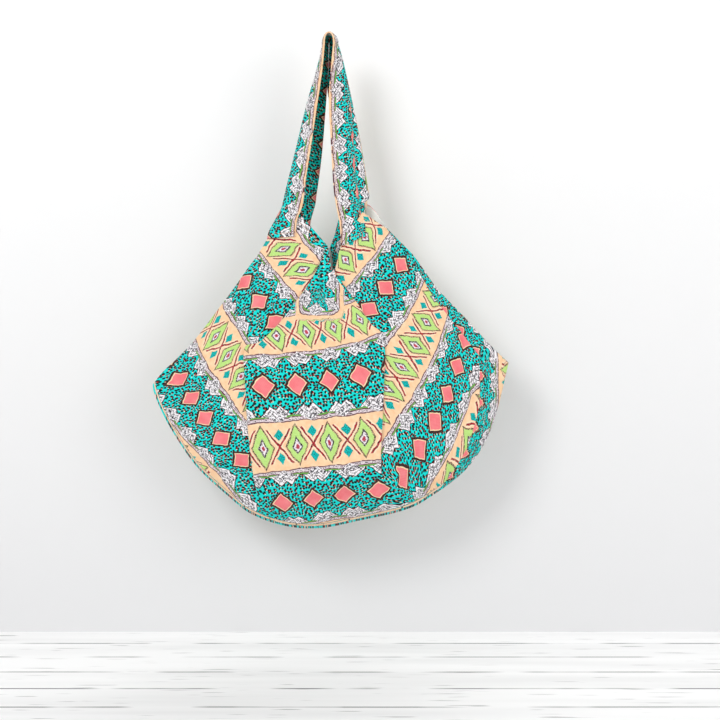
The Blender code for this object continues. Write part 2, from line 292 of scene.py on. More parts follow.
def laid_flat(side):
    """For each row of the panel, how much further out and down each share lies on the flat cloth."""
    rows = panel_rows()
    grid = np.array([body_points(FLAT_SHARES, row, side) for row in rows])
    step = np.diff(grid, axis=1)
    spare = np.sqrt(step[..., 0] ** 2 + step[..., 1] ** 2) - np.abs(step[..., 0])
    total = np.concatenate([np.zeros((len(rows), 1)), np.cumsum(spare, axis=1)], axis=1)
    out = total - total[:, FLAT_CENTRE:FLAT_CENTRE + 1]
    step = np.diff(grid, axis=0)
    spare = np.sqrt(step[..., 2] ** 2 + step[..., 1] ** 2) - np.abs(step[..., 2])
    total = np.concatenate([np.zeros((1, len(FLAT_SHARES))), np.cumsum(spare, axis=0)], axis=0)
    middle = int(np.argmin(np.abs(rows - FLAT_ROW)))
    return out, total - total[middle]


# The print's place in repeats, across and up, as cubic sums in x and z, in decimetres on the flat cloth
PRINT_MAPS = {
    "left": (
        (-3.848, 1.228, -2.207, -0.423, -0.417, -0.314, -0.071, -0.207, -0.203, -0.008),
        (1.257, 0.559, 0.366, 0.06, 0.05, -0.017, 0.014, 0.033, -0.012, 0.028),
    ),
    "middle": (
        (1.262, 2.305, 0.738, -0.037, 0.275, 0.322, -0.145, 0.038, 0.128, 0.067),
        (1.238, -0.122, 0.652, -0.037, -0.102, 0.081, 0.004, -0.024, -0.045, 0.031),
    ),
    "right": (
        (4.629, 1.651, 2.438, -0.165, 0.071, -0.159, 0.042, -0.135, 0.23, -0.137),
        (0.982, -0.427, 0.391, 0.077, -0.091, 0.058, -0.061, 0.025, -0.045, 0.007),
    ),
}

# Where each sum holds, as (lowest x, highest x, lowest z, highest z); past that the print runs on straight
PRINT_RANGES = {
    "left": (-0.222, 0.05, -0.62, -0.29),
    "middle": (-0.105, 0.075, -0.68, -0.38),
    "right": (-0.05, 0.205, -0.64, -0.275),
}
PRINT_TURNS = {"left": -54, "middle": 7.5, "right": 56}  # degrees
PRINT_REPEATS = {"left": 0.050, "middle": 0.0463, "right": 0.036}
PRINT_UP = 0.165  # metres of cloth to one repeat upward
PRINT_CENTRE = -0.45
SEAM_REPEAT = 0.037


def run_on(name, x, z):
    """How far the print moves on over this step of cloth, in repeats across and up."""
    turn = math.radians(PRINT_TURNS[name])
    across = (x * math.cos(turn) + z * math.sin(turn)) / PRINT_REPEATS[name]
    up = (-x * math.sin(turn) + z * math.cos(turn)) / PRINT_UP
    return across, up


def print_place(name, x, z):
    """Where the point of the flat cloth lies on the print."""
    low_x, high_x, low_z, high_z = PRINT_RANGES[name]
    near_x, near_z = np.clip(x, low_x, high_x), np.clip(z, low_z, high_z)
    on_across, on_up = run_on(name, x - near_x, z - near_z)
    x, z = near_x * 10, (near_z - PRINT_CENTRE) * 10
    terms = (
        np.ones_like(x), x, z, x * x, x * z, z * z, x ** 3, x * x * z, x * z * z, z ** 3,
    )
    across, up = [sum(factor * term for factor, term in zip(factors, terms)) for factors in PRINT_MAPS[name]]
    return across + on_across, up + on_up


def linear(*code):
    """A colour written as it is seen, 0 to 255, in the shader's own scale."""
    found = [(c / 255 / 12.92) if c / 255 <= 0.04045 else ((c / 255 + 0.055) / 1.055) ** 2.4 for c in code]
    return (*found, 1.0)


class Graph:
    """A material and short calls that add nodes to it."""

    def __init__(self, name, roughness):
        self.material = bpy.data.materials.new(name)
        self.material.use_nodes = True
        self.tree = self.material.node_tree
        self.shader = self.tree.nodes["Principled BSDF"]
        self.shader.inputs["Roughness"].default_value = roughness
        self.shader.inputs["Specular IOR Level"].default_value = 0.25

    def feed(self, socket, value):
        if isinstance(value, bpy.types.NodeSocket):
            self.tree.links.new(value, socket)
        else:
            socket.default_value = value

    def node(self, kind, inputs=None, **settings):
        node = self.tree.nodes.new("ShaderNode" + kind)
        for name, value in settings.items():
            setattr(node, name, value)
        for name, value in (inputs or {}).items():
            self.feed(node.inputs[name], value)
        return node

    def math(self, operation, *values, clamp=False):
        node = self.node("Math", operation=operation, use_clamp=clamp)
        for socket, value in zip(node.inputs, values):
            self.feed(socket, value)
        return node.outputs[0]

    def add(self, a, b):
        return self.math("ADD", a, b)

    def sub(self, a, b):
        return self.math("SUBTRACT", a, b)

    def mul(self, a, b):
        return self.math("MULTIPLY", a, b)

    def size(self, a):
        return self.math("ABSOLUTE", a)

    def wrap(self, value, half):
        return self.math("WRAP", value, half, -half)

    def step(self, value, low, high):
        """0 below low and 1 above high, or the other way round."""
        node = self.node("MapRange", {"Value": value, "From Min": low, "From Max": high})
        return node.outputs[0]

    def within(self, value, limit, soft=0.25):
        return self.step(value, limit + soft, limit - soft)

    def both(self, *values):
        found = values[0]
        for value in values[1:]:
            found = self.mul(found, value)
        return found

    def mix(self, factor, first, second):
        node = self.node("Mix", data_type="RGBA")
        self.feed(node.inputs[0], factor)
        self.feed(node.inputs[6], first)
        self.feed(node.inputs[7], second)
        return node.outputs[2]

    def vector(self, x, y, z=0.0):
        return self.node("CombineXYZ", {0: x, 1: y, 2: z}).outputs[0]

    def noise(self, vector, scale, detail=1.0, rough=0.5):
        node = self.node("TexNoise", {"Vector": vector, "Scale": scale, "Detail": detail, "Roughness": rough})
        return node.outputs["Fac"]

    def noise_pair(self, vector, scale, reach):
        """Two offsets from -reach to reach."""
        node = self.node("TexNoise", {"Vector": vector, "Scale": scale, "Detail": 1.0})
        split = self.node("SeparateXYZ", {0: node.outputs["Color"]})
        return [self.mul(self.sub(split.outputs[i], 0.5), 3 * reach) for i in (0, 1)]


REPEAT_ACROSS, REPEAT_UP = 46.3, PRINT_UP * 1000  # millimetres of cloth
LIME_SHIFT = 12.5
TEAL_EDGE, GREY_EDGE = 42.0, 50.4  # half the teal band, and where the peach band starts


def printed_cotton():
    g = Graph("printed_cotton", 0.88)
    uv = g.node("UVMap", uv_map="cloth").outputs[0]
    split = g.node("SeparateXYZ", {0: uv})
    u, v = g.mul(split.outputs[0], REPEAT_ACROSS), g.mul(split.outputs[1], REPEAT_UP)
    true_place = g.vector(u, v)
    slow = g.noise_pair(true_place, 1 / 26, 2.6)
    quick = g.noise_pair(true_place, 1 / 7, 0.9)
    x = g.add(u, g.add(slow[0], quick[0]))
    y = g.add(v, g.add(slow[1], quick[1]))
    half = REPEAT_ACROSS / 2
    coral_x, band_y = g.wrap(x, half), g.wrap(y, REPEAT_UP / 2)
    apart = g.size(band_y)
    lime_x = g.size(g.wrap(g.add(x, LIME_SHIFT), half))
    cross_x = g.size(g.wrap(g.add(x, LIME_SHIFT - half), half))
    lime_y = g.size(g.wrap(g.sub(y, REPEAT_UP / 2), REPEAT_UP / 2))
    fleck = g.noise(true_place, 0.9, 2.0)
    blot = g.noise(true_place, 0.45, 2.0)
    dash = g.noise(true_place, 0.32, 1.0)

    # Teal with flecks, each with an orange fleck beside it
    teal = g.mix(g.noise(true_place, 0.25, 2.0), linear(0, 208, 200), linear(6, 236, 230))

    def dots(shift_x, shift_y):
        at = g.vector(g.add(x, shift_x), g.add(y, shift_y))
        inputs = {"Vector": at, "Scale": 0.225, "Randomness": 0.75}
        return g.node("TexVoronoi", inputs, voronoi_dimensions="2D")

    black_dot = dots(0.0, 0.0)
    warm_dot = dots(-1.5, 1.1)
    limit = g.add(0.25, g.mul(g.noise(true_place, 0.42, 1.0), 0.30))
    black = g.step(g.sub(black_dot.outputs["Distance"], limit), 0.05, -0.05)
    colour = g.mix(black, teal, linear(8, 10, 14))
    keep = g.node("SeparateXYZ", {0: warm_dot.outputs["Color"]})
    warm = g.both(g.within(warm_dot.outputs["Distance"], 0.19, 0.04), g.step(keep.outputs[0], 0.40, 0.42))
    warm_colour = g.mix(g.step(keep.outputs[1], 0.4, 0.6), linear(214, 60, 50), linear(255, 206, 176))
    colour = g.mix(warm, colour, warm_colour)

    # Coral diamonds with a cream line and a dark, broken outline
    coral_in = g.mul(g.sub(g.add(g.mul(g.size(coral_x), 1 / 13.4), g.mul(apart, 1 / 14.6)), 1.0), 9.9)
    dark_line = g.both(g.within(coral_in, 3.6), g.step(fleck, 0.40, 0.46))
    outline = g.mix(g.step(blot, 0.45, 0.6), linear(120, 74, 62), linear(46, 26, 28))
    colour = g.mix(g.within(coral_in, 4.2), colour, outline)
    colour = g.mix(dark_line, colour, linear(30, 16, 20))
    colour = g.mix(g.within(coral_in, 1.2), colour, linear(255, 228, 182))
    hatch = g.math("SINE", g.mul(g.add(u, v), 2.6))
    faded = g.add(g.noise(true_place, 0.06, 2.0), g.mul(hatch, 0.16))
    coral = g.mix(faded, linear(238, 96, 106), linear(251, 154, 157))
    colour = g.mix(g.within(coral_in, 0.1), colour, coral)

    # Scribbled hills with two peaks, which stand on the grey strip and point into the teal
    from_peak = g.sub(cross_x, 7.2)
    edge = g.add(28.0, g.math("MAXIMUM", g.mul(from_peak, -0.72), g.mul(from_peak, 1.05)))
    above_edge = g.sub(apart, edge)
    foot = g.math("MAXIMUM", TEAL_EDGE, g.sub(GREY_EDGE, g.mul(cross_x, 0.62)))
    in_hill = g.both(g.step(above_edge, -0.3, 0.3), g.within(g.sub(apart, foot), 0.0))
    ridge = g.wrap(g.add(above_edge, g.mul(g.sub(blot, 0.5), 6.0)), 2.5)
    ridge_line = g.within(g.size(ridge), 0.75, 0.3)
    scribble = g.both(ridge_line, g.step(fleck, 0.44, 0.50), g.step(above_edge, 1.2, 2.0))
    for lean, shift in ((1.0, 0.0), (-1.0, 40.0)):
        length = g.mul(g.add(u, g.mul(v, lean)), 0.11)
        thickness = g.mul(g.sub(g.add(v, shift), g.mul(u, lean)), 0.48)
        scratch = g.step(g.noise(g.vector(length, thickness), 1.0, 1.0), 0.60, 0.64)
        scribble = g.math("MAXIMUM", scribble, scratch)
    patch = g.both(g.step(g.noise(true_place, 0.30, 2.0), 0.56, 0.60), g.step(above_edge, 3.0, 6.0))
    scribble = g.math("MAXIMUM", scribble, patch)
    ink = g.mix(g.noise(true_place, 0.7, 1.0), linear(10, 9, 13), linear(70, 64, 76))
    hill = g.mix(scribble, linear(252, 248, 251), ink)
    hill = g.mix(g.both(g.within(above_edge, 1.1), g.step(fleck, 0.50, 0.54)), hill, linear(250, 226, 232))

    # Green line and grey strip
    strip = g.mix(g.step(fleck, 0.45, 0.65), linear(246, 232, 236), linear(196, 176, 186))
    rail_near = g.within(g.size(g.sub(apart, GREY_EDGE - 0.8)), 0.85)
    rail_far = g.within(g.size(g.sub(apart, TEAL_EDGE + 2.7)), 0.75)
    rail = g.both(g.math("MAXIMUM", rail_near, rail_far), g.step(dash, 0.30, 0.40))
    marks = g.both(g.within(g.size(g.sub(apart, GREY_EDGE - 3.2)), 0.7), g.step(blot, 0.50, 0.54))
    strip = g.mix(rail, strip, linear(94, 50, 60))
    strip = g.mix(marks, strip, linear(30, 24, 30))
    strip = g.mix(g.within(apart, TEAL_EDGE + 1.9), strip, linear(104, 172, 62))
    strip = g.mix(g.within(apart, TEAL_EDGE + 0.2), strip, linear(40, 40, 40))

    # Peach band with lime diamonds, crosses and small teal diamonds
    peach = g.mix(g.noise(true_place, 0.11, 3.0, 0.65), linear(248, 182, 128), linear(255, 236, 200))
    cross = g.mul(g.size(g.sub(lime_y, g.mul(cross_x, 1.49))), 1 / 1.795)
    in_cross = g.within(lime_y, 23.5)
    peach = g.mix(g.both(g.within(cross, 2.6, 1.2), in_cross), peach, linear(255, 236, 206))
    red = g.mix(g.step(blot, 0.48, 0.6), linear(186, 36, 50), linear(64, 12, 22))
    peach = g.mix(g.both(g.within(cross, 1.3), in_cross, g.step(fleck, 0.32, 0.38)), peach, red)
    small_in = g.add(g.mul(cross_x, 1 / 5.9), g.mul(g.size(g.sub(lime_y, 15.8)), 1 / 8.6))
    small = g.mix(g.step(fleck, 0.50, 0.56), linear(0, 206, 202), linear(4, 40, 42))
    peach = g.mix(g.within(small_in, 1.0, 0.05), peach, small)
    lime_in = g.mul(g.sub(g.add(g.mul(lime_x, 1 / 14.0), g.mul(lime_y, 1 / 26.0)), 1.0), 12.3)
    peach = g.mix(g.both(g.within(lime_in, 2.0), g.step(fleck, 0.42, 0.48)), peach, linear(30, 28, 30))
    lime = g.mix(g.noise(true_place, 0.5, 2.0), linear(160, 214, 84), linear(218, 242, 166))
    peach = g.mix(g.within(lime_in, 0.0), peach, lime)
    eye_in = g.mul(g.sub(g.add(g.mul(lime_x, 1 / 7.4), g.mul(lime_y, 1 / 12.6)), 1.0), 6.4)
    eye_ring = g.both(g.step(eye_in, -2.2, -1.8), g.step(fleck, 0.38, 0.44))
    eye = g.mix(eye_ring, linear(246, 236, 242), linear(30, 22, 30))
    eye = g.mix(g.step(g.noise(true_place, 0.6, 1.0), 0.60, 0.64), eye, linear(36, 28, 34))
    pupil = g.math("SQRT", g.add(g.mul(lime_x, lime_x), g.mul(g.mul(lime_y, lime_y), 0.5)))
    pupil_colour = g.mix(g.step(fleck, 0.5, 0.55), linear(226, 84, 104), linear(60, 20, 34))
    eye = g.mix(g.within(pupil, 2.3), eye, pupil_colour)
    peach = g.mix(g.within(eye_in, 0.0), peach, eye)

    colour = g.mix(g.step(apart, TEAL_EDGE - 0.4, TEAL_EDGE + 0.1), colour, strip)
    colour = g.mix(g.step(apart, GREY_EDGE - 0.3, GREY_EDGE + 0.3), colour, peach)
    colour = g.mix(in_hill, colour, hill)
    rim = g.both(g.within(g.size(g.add(above_edge, 0.5)), 0.75), g.within(apart, TEAL_EDGE))
    colour = g.mix(rim, colour, linear(8, 14, 16))
    weave(g, colour, u, v, 0.35)
    return g.material


def weave(g, colour, u, v, strength):
    """Plain weave: painted shade darkens the colour a little between threads, which also stand up."""
    across = g.math("SINE", g.mul(u, 2 * math.pi / 0.9))
    along_cloth = g.math("SINE", g.mul(v, 2 * math.pi / 0.9))
    threads = g.mul(across, along_cloth)
    slub = g.noise(g.vector(g.mul(u, 0.25), g.mul(v, 2.2)), 1.0, 2.0)
    uneven = g.noise(g.vector(g.mul(u, 0.02), g.mul(v, 0.02)), 1.0, 2.0)
    # Painted shade between the threads, plus the cloth's own uneven tone from slubs and broad patches
    shade = g.add(0.90, g.add(g.mul(threads, 0.03), g.mul(slub, 0.10)))
    shade = g.add(shade, g.mul(g.sub(uneven, 0.5), 0.10))
    grey = g.node("CombineColor", {0: shade, 1: shade, 2: shade}).outputs[0]
    node = g.node("Mix", data_type="RGBA", blend_type="MULTIPLY")
    node.inputs[0].default_value = 1.0
    g.feed(node.inputs[6], colour)
    g.feed(node.inputs[7], grey)
    g.feed(g.shader.inputs["Base Color"], node.outputs[2])
    creases = g.noise(g.vector(g.mul(u, 0.045), g.mul(v, 0.03)), 1.0, 3.0)
    height = g.add(g.add(g.mul(threads, 0.5), slub), g.mul(creases, 14.0))
    bump = g.node("Bump", {"Strength": strength, "Distance": 0.00025, "Height": height})
    g.feed(g.shader.inputs["Normal"], bump.outputs[0])
    g.shader.inputs["Sheen Weight"].default_value = 0.12
    g.shader.inputs["Sheen Roughness"].default_value = 0.5


def white_cotton():
    g = Graph("white_cotton", 0.9)
    uv = g.node("UVMap", uv_map="cloth").outputs[0]
    split = g.node("SeparateXYZ", {0: uv})
    u, v = g.mul(split.outputs[0], 1000.0), g.mul(split.outputs[1], 1000.0)
    cloud = g.noise(g.vector(u, v), 0.02, 3.0)
    weave(g, g.mix(cloud, linear(244, 244, 238), linear(253, 252, 248)), u, v, 0.3)
    return g.material


def sewing_thread():
    g = Graph("sewing_thread", 0.7)
    g.shader.inputs["Base Color"].default_value = linear(222, 176, 140)
    return g.material


PRINTED = printed_cotton()
WHITE = white_cotton()
THREAD = sewing_thread()


def make_piece(name, grid, places, material, closed=False):
    """A smooth sheet through a grid of points, with the cloth's places as its UVs."""
    grid = np.asarray(grid)
    rows, columns = grid.shape[:2]
    around = columns if closed else columns - 1
    faces = []
    for i in range(rows - 1):
        for j in range(around):
            after = (j + 1) % columns
            here, below = i * columns, (i + 1) * columns
            faces.append((here + j, here + after, below + after, below + j))
    mesh = bpy.data.meshes.new(name)
    mesh.from_pydata(grid.reshape(-1, 3).tolist(), [], faces)
    mesh.materials.append(material)
    mesh.shade_smooth()
    layer = mesh.uv_layers.new(name="cloth")
    corner = np.zeros(len(mesh.loops), dtype=np.int32)
    mesh.loops.foreach_get("vertex_index", corner)
    layer.data.foreach_set("uv", np.asarray(places).reshape(-1, 2)[corner].astype(np.float32).ravel())
    piece = bpy.data.objects.new(name, mesh)
    bpy.context.scene.collection.objects.link(piece)
    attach(piece, "root")
    return piece


def thicken(piece, thickness):
    modifier = piece.modifiers.new("cloth", "SOLIDIFY")
    modifier.thickness = thickness
    modifier.offset = 0.0


def photo_place(points):
    """A point's place in the photo, in its pixels, for what is given there."""
    return points[:, 0] / PIXEL + PEG_AT[0], PEG_AT[1] - points[:, 2] / PIXEL


def from_photo(px, py):
    return (np.asarray(px, float) - PEG_AT[0]) * PIXEL, (PEG_AT[1] - np.asarray(py, float)) * PIXEL


# The top of the middle panel in the photo, in its pixels, and how the print runs round it
TONGUE_LEFT, TONGUE_RIGHT, TONGUE_BOTTOM, TONGUE_MIDDLE, TONGUE_HALF = 300.5, 340.0, 316.5, 320, 19
TONGUE_PULL, TONGUE_REPEAT, TONGUE_PHASE, TONGUE_START, TONGUE_STRETCH = 0.3, 0.042, 0.4, 1.696, 1.25


def tongue_print(px, py, printed):
    """Round the top of the middle panel, the teal band's grey strip runs as a U."""
    left, right, bottom = px - TONGUE_LEFT, TONGUE_RIGHT - px, TONGUE_BOTTOM - py
    pull = [np.exp(-TONGUE_PULL * np.clip(reach, -60, 60)) for reach in (left, right, bottom)]
    inside = -np.log(pull[0] + pull[1] + pull[2]) / TONGUE_PULL
    side = np.where(left < right, -1.0, 1.0)
    low = pull[2] / (pull[2] + np.maximum(pull[0], pull[1]))
    path = low * (px - TONGUE_MIDDLE) + (1 - low) * side * (TONGUE_HALF + bottom)
    up = TONGUE_START + inside * PIXEL * TONGUE_STRETCH / PRINT_UP
    around = np.stack([path * PIXEL / TONGUE_REPEAT + TONGUE_PHASE, up], axis=-1)
    weight = smooth((inside + 4.8) / 1.6)[:, None]
    return printed * (1 - weight) + around * weight


def flat_places(flat, i, shares, points):
    out, down = flat
    x = points[:, 0] + np.interp(shares, FLAT_SHARES, out[i])
    z = points[:, 2] - np.interp(shares, FLAT_SHARES, down[i])
    return x, z


def print_row(x, z, shares, parts, row, side):
    """The print's place along one row, which changes at each pleat, softly below the right tip."""
    left, middle, right = (np.stack(print_place(name, x, z), axis=-1) for name in ("left", "middle", "right"))
    order = np.arange(len(parts))
    first_left = order[parts == 1][0]
    first_right = order[parts == 3][0]
    on_left = order < first_left + np.sum(parts == 1) - BEND_COLUMNS
    on_right = order >= first_right + BEND_COLUMNS
    found = np.where(on_left[:, None], left, middle)
    fold = share_of_fold(FOLDS[1], row, side)
    above = RIGHT_TIP - body_outline(np.array([fold]), row, side)[1][0]
    past = (shares - fold) * row_width(row)
    weight = np.maximum(smooth(past / 0.036), smooth((above + 0.02) / 0.06))
    weight = np.where(on_right, weight, 0.0)[:, None]
    return found * (1 - weight) + right * weight


# Below this row the front rolls under, with the seam's peach edge and another part of the print
BOTTOM_SEAM_ROW, BOTTOM_ROLL_ROW = 0.9795, 0.9885
BOTTOM_SEAM_PRINT, BOTTOM_ROLL_PRINT, BOTTOM_PRINT_SPEED = 0.0535, 0.022, 0.6
BOTTOM_RIDGE, BOTTOM_RIDGE_ROWS = 0.0014, 0.006


def make_front():
    flat = laid_flat("front")
    grid, places = [], []
    for i, row in enumerate(panel_rows()):
        shares, lifts, parts = pleated_row(row, "front", 0.0, seam_share(row))
        points = body_points(shares, row, "front", lifts)
        x, z = flat_places(flat, i, shares, points)
        printed = print_row(x, z, shares, parts, row, "front")
        px, py = photo_place(points)
        last_bend = np.cumsum(parts == 1) > np.sum(parts == 1) - BEND_COLUMNS
        on_middle = (parts == 2) | ((parts == 1) & last_bend)
        printed = np.where(on_middle[:, None], tongue_print(px, py, printed), printed)
        if row > BOTTOM_SEAM_ROW:
            rolled = (BOTTOM_SEAM_PRINT if row < BOTTOM_ROLL_ROW else BOTTOM_ROLL_PRINT) / PRINT_UP
            up = np.full(len(x), rolled) + (row - BOTTOM_SEAM_ROW) * BOTTOM_PRINT_SPEED
            printed = np.stack([x / SEAM_REPEAT, up], axis=-1)
        ridge = BOTTOM_RIDGE * np.exp(-((row - BOTTOM_SEAM_ROW) / BOTTOM_RIDGE_ROWS) ** 2)
        points[:, 1] -= ridge * smooth(shares * 12)
        grid.append(points)
        places.append(printed)
    piece = make_piece("front_cloth", grid, places, PRINTED)
    thicken(piece, CLOTH)
    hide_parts("front_panel")
    return piece


BACK_PHASE = (0.31, 0.42)  # the back is cut from another place in the print
STRIP_PRINT, STRIP_SHIFT, STRIP_STRETCH, STRIP_PHASE = 0.018, 0.013, 1.65, 0.18


def print_strip(grid, places):
    """Where the back comes round to the front, the print's bands follow the seam."""
    seam = grid[:, -1][:, [0, 2]]
    run = np.concatenate([[0], np.cumsum(np.linalg.norm(np.diff(seam, axis=0), axis=1))])
    for j in range(grid.shape[1] - STRIP_COLUMNS, grid.shape[1]):
        apart = np.linalg.norm(grid[:, j][:, None, [0, 2]] - seam[None], axis=2)
        near = np.argmin(apart, axis=1)
        first = STRIP_PRINT - STRIP_SHIFT * smooth((run[near] - 0.10) / 0.05)
        places[:, j, 0] = run[near] / SEAM_REPEAT + STRIP_PHASE
        places[:, j, 1] = (first + STRIP_STRETCH * apart.min(axis=1)) / PRINT_UP


def make_back():
    flat = laid_flat("back")
    grid, places = [], []
    for i, row in enumerate(panel_rows()):
        shares, lifts, parts = pleated_row(row, "back", 0.0, 1.0)
        points = body_points(shares, row, "back", lifts)
        x, z = flat_places(flat, i, shares, points)
        start = seam_share(row) + SEAM_GAP / row_width(row)
        strip = eased(start, 1 - 0.0002, STRIP_COLUMNS, False, True)[::-1]
        round_points = body_points(strip, row, "front")
        printed = print_row(x, z, shares, parts, row, "back") + np.array(BACK_PHASE)
        grid.append(np.concatenate([points, round_points]))
        places.append(np.concatenate([printed, np.zeros((len(strip), 2))]))
    grid, places = np.array(grid), np.array(places)
    print_strip(grid, places)
    piece = make_piece("back_cloth", grid, places, PRINTED)
    thicken(piece, CLOTH)
    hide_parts("back_panel")
    return piece


def lining_points(shares, row, side):
    inset = HEM_INSET + (LINING_INSET - HEM_INSET) * smooth(row / 0.15)
    points = body_points(shares, row, side)
    points[:, 1] -= OUTWARD[side] * inset
    return points


LINING_COLUMNS, LINING_CLOTH, LINING_LAST_ROW, LINING_HALF_FLOOR = 70, 0.0007, 0.955, 0.03


def make_lining():
    grid, places = [], []
    down = 0.0
    for row in np.linspace(0.003, LINING_LAST_ROW, LINING_COLUMNS):
        inset = LINING_TOP_INSET + (LINING_SIDE_INSET - LINING_TOP_INSET) * smooth(row / 0.2)
        inset /= row_width(row)
        shares = eased(inset, 1 - inset, LINING_COLUMNS, True, True)
        line = np.concatenate([lining_points(shares, row, "front"), lining_points(shares[::-1], row, "back")])
        if grid:
            down += float(np.linalg.norm((line - grid[-1])[LINING_COLUMNS // 2]))
        turned = np.concatenate([[0], np.cumsum(np.linalg.norm(np.diff(line, axis=0), axis=1))])
        grid.append(line)
        places.append(np.stack([turned, np.full(len(line), -down)], axis=-1))
    lowest = grid[-1]
    middle = (lowest + lowest[::-1]) / 2
    grid.append(middle)
    places.append(places[-1] - [0.0, LINING_HALF_FLOOR])
    piece = make_piece("lining_cloth", grid, places, WHITE, closed=True)
    thicken(piece, LINING_CLOTH)
    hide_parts("lining")
    return piece


# What shows of the printed facing inside the neck: its left side in the photo, top to bottom
FACING_SIDE = [(338.5, 219), (334.5, 235), (329.8, 247), (331.5, 254), (333.0, 262), (333.0, 273)]
FACING_RIGHT = 344.0
FACING_Y, FACING_BULGE, FACING_COLUMNS = 0.0105, 0.0015, 12


def make_facing():
    side = np.array(FACING_SIDE)
    grid, places = [], []
    for py in np.linspace(side[0, 1], side[-1, 1], 24):
        px = np.linspace(np.interp(py, side[:, 1], side[:, 0]), FACING_RIGHT, FACING_COLUMNS)
        x, z = from_photo(px, np.full(FACING_COLUMNS, py))
        bulge = FACING_BULGE * np.sin(np.linspace(0, np.pi, FACING_COLUMNS))
        grid.append(np.stack([x, FACING_Y - bulge, z], axis=-1))
        up = (0.018 + (px - px[0]) * PIXEL * 1.6) / PRINT_UP
        places.append(np.stack([z / 0.038 + x / 0.09, up], axis=-1))
    piece = make_piece("neck_facing", grid, places, PRINTED)
    thicken(piece, CLOTH)
    return piece


STRAP_ARM_COLUMNS, STRAP_LEG_ROWS, STRAP_TOP_ROWS = 16, 100, 21
# Millimetres across the strap from its near edge, and there the print's distance from a coral row.
# On the right leg a lengthwise tuck hides the middle of the teal band.
STRAP_ACROSS = [0, 21.5, 28.0, 32.0, 32.8, 50, 90, 200]
STRAP_ON_LEFT = [52.0, 28.5, 21.0, 16.5, 15.6, -2, -46, -156]
STRAP_ON_RIGHT = [50.9, 28.5, 18.0, 12.0, -24, -43, -86, -196]
STRAP_REPEAT, STRAP_INNER_PRINT, STRAP_INNER_STRETCH = 0.0385, 0.010, 0.95
# Where the strap's front arms are sewn down, near edge to outer fold, in the photo
SEWN_LEFT = (295.4, 237.2), (268.2, 239.0)
SEWN_RIGHT = (341.6, 246.5), (364.8, 237.2)


def front_surface():
    rows = np.linspace(0.0, 0.3, 60)
    return np.concatenate([body_points(FLAT_SHARES, row, "front") for row in rows])


def on_front(x, z, off):
    """The points of the front at these places, lifted off it."""
    surface = front_surface()
    found = []
    for at_x, at_z in zip(x, z):
        near = np.argmin((surface[:, 0] - at_x) ** 2 + (surface[:, 2] - at_z) ** 2)
        found.append((at_x, surface[near, 1] - off, at_z))
    return np.array(found)


def strap_base(way):
    first, last = LEFT_EDGE[0][0], RIGHT_EDGE[0][0]
    inner, outer = (STRAP_LEFT_END, first + 0.03) if way < 0 else (STRAP_RIGHT_START, STRAP_RIGHT_END)
    shares = (np.linspace(inner, outer, STRAP_ARM_COLUMNS) - first) / (last - first)
    (px0, py0), (px1, py1) = SEWN_LEFT if way < 0 else SEWN_RIGHT
    spread = np.linspace(0.0, 1.0, STRAP_ARM_COLUMNS)
    x, z = from_photo(px0 + (px1 - px0) * spread, py0 + (py1 - py0) * spread)
    near = on_front(x, z, STRAP_CLOTH / 2 + CLOTH / 2 + 0.0002)
    far = body_points(shares[::-1], 0.0, "back")
    fold = (body_points(shares[-1:], 0.0, "front") + far[:1]) / 2 + [way * STRAP_FOLD, 0.0, 0.0]
    if way > 0:
        fold[:, 2] = far[0, 2]
    far[:, 2] += STRAP_SEAM_GAP
    return np.concatenate([near, fold, far])


def strap_leg(way):
    curves = (LEFT_NEAR, LEFT_OUTER, LEFT_FAR) if way < 0 else (RIGHT_NEAR, RIGHT_OUTER, RIGHT_FAR)
    curves = [rounded(curve) for curve in curves]
    base = strap_base(way)
    spread = np.linspace(0.0, 1.0, len(base))
    sewn_share = np.repeat(STRAP_SEWN_SHARES[way], [STRAP_ARM_COLUMNS, STRAP_ARM_COLUMNS + 1])
    found = []
    for share in np.linspace(STRAP_TOP_SHARE, 1.0, STRAP_LEG_ROWS):
        depth = share * base[:, 2] / -STRAP_DROP
        near, outer, far = (np.interp(depth, curve[:, 1], curve[:, 0]) for curve in curves)
        middle = 2 * outer - (near + far) / 2
        across = near * (1 - spread) ** 2 + 2 * middle * spread * (1 - spread) + far * spread ** 2
        free = np.stack([across, STRAP_REACH * (2 * spread - 1), share * base[:, 2]], axis=1)
        sewn = np.stack([base[:, 0], base[:, 1], share * base[:, 2]], axis=1)
        blend = smooth((share - sewn_share) / (1 - sewn_share))[:, None]
        found.append(free * (1 - blend) + sewn * blend)
    return found


def strap_sections():
    left, right = strap_leg(-1), strap_leg(1)
    over = []
    for turn in np.linspace(0.0, np.pi, STRAP_TOP_ROWS + 2)[1:-1]:
        section = left[0] + (right[0] - left[0]) * (1 - np.cos(turn)) / 2
        rise = -section[:, 2] + 0.0012
        section[:, 2] += rise * np.sin(turn) ** 0.7
        over.append(section)
    return np.array(left[::-1] + over + right)


def surface_normals(grid):
    down = np.gradient(grid, axis=0)
    across = np.gradient(grid, axis=1)
    normals = np.cross(across, down)
    return normals / np.maximum(np.linalg.norm(normals, axis=2, keepdims=True), 1e-9)


STRAP_STITCH_INSET = 0.0022
STITCH_LENGTH, STITCH_EVERY, STITCH_RADIUS = 0.0026, 0.0036, 0.00032
STITCH_SIDES = 6
STITCH_RISE = STITCH_RADIUS * 0.6  # how far a stitch's centre lies off the cloth


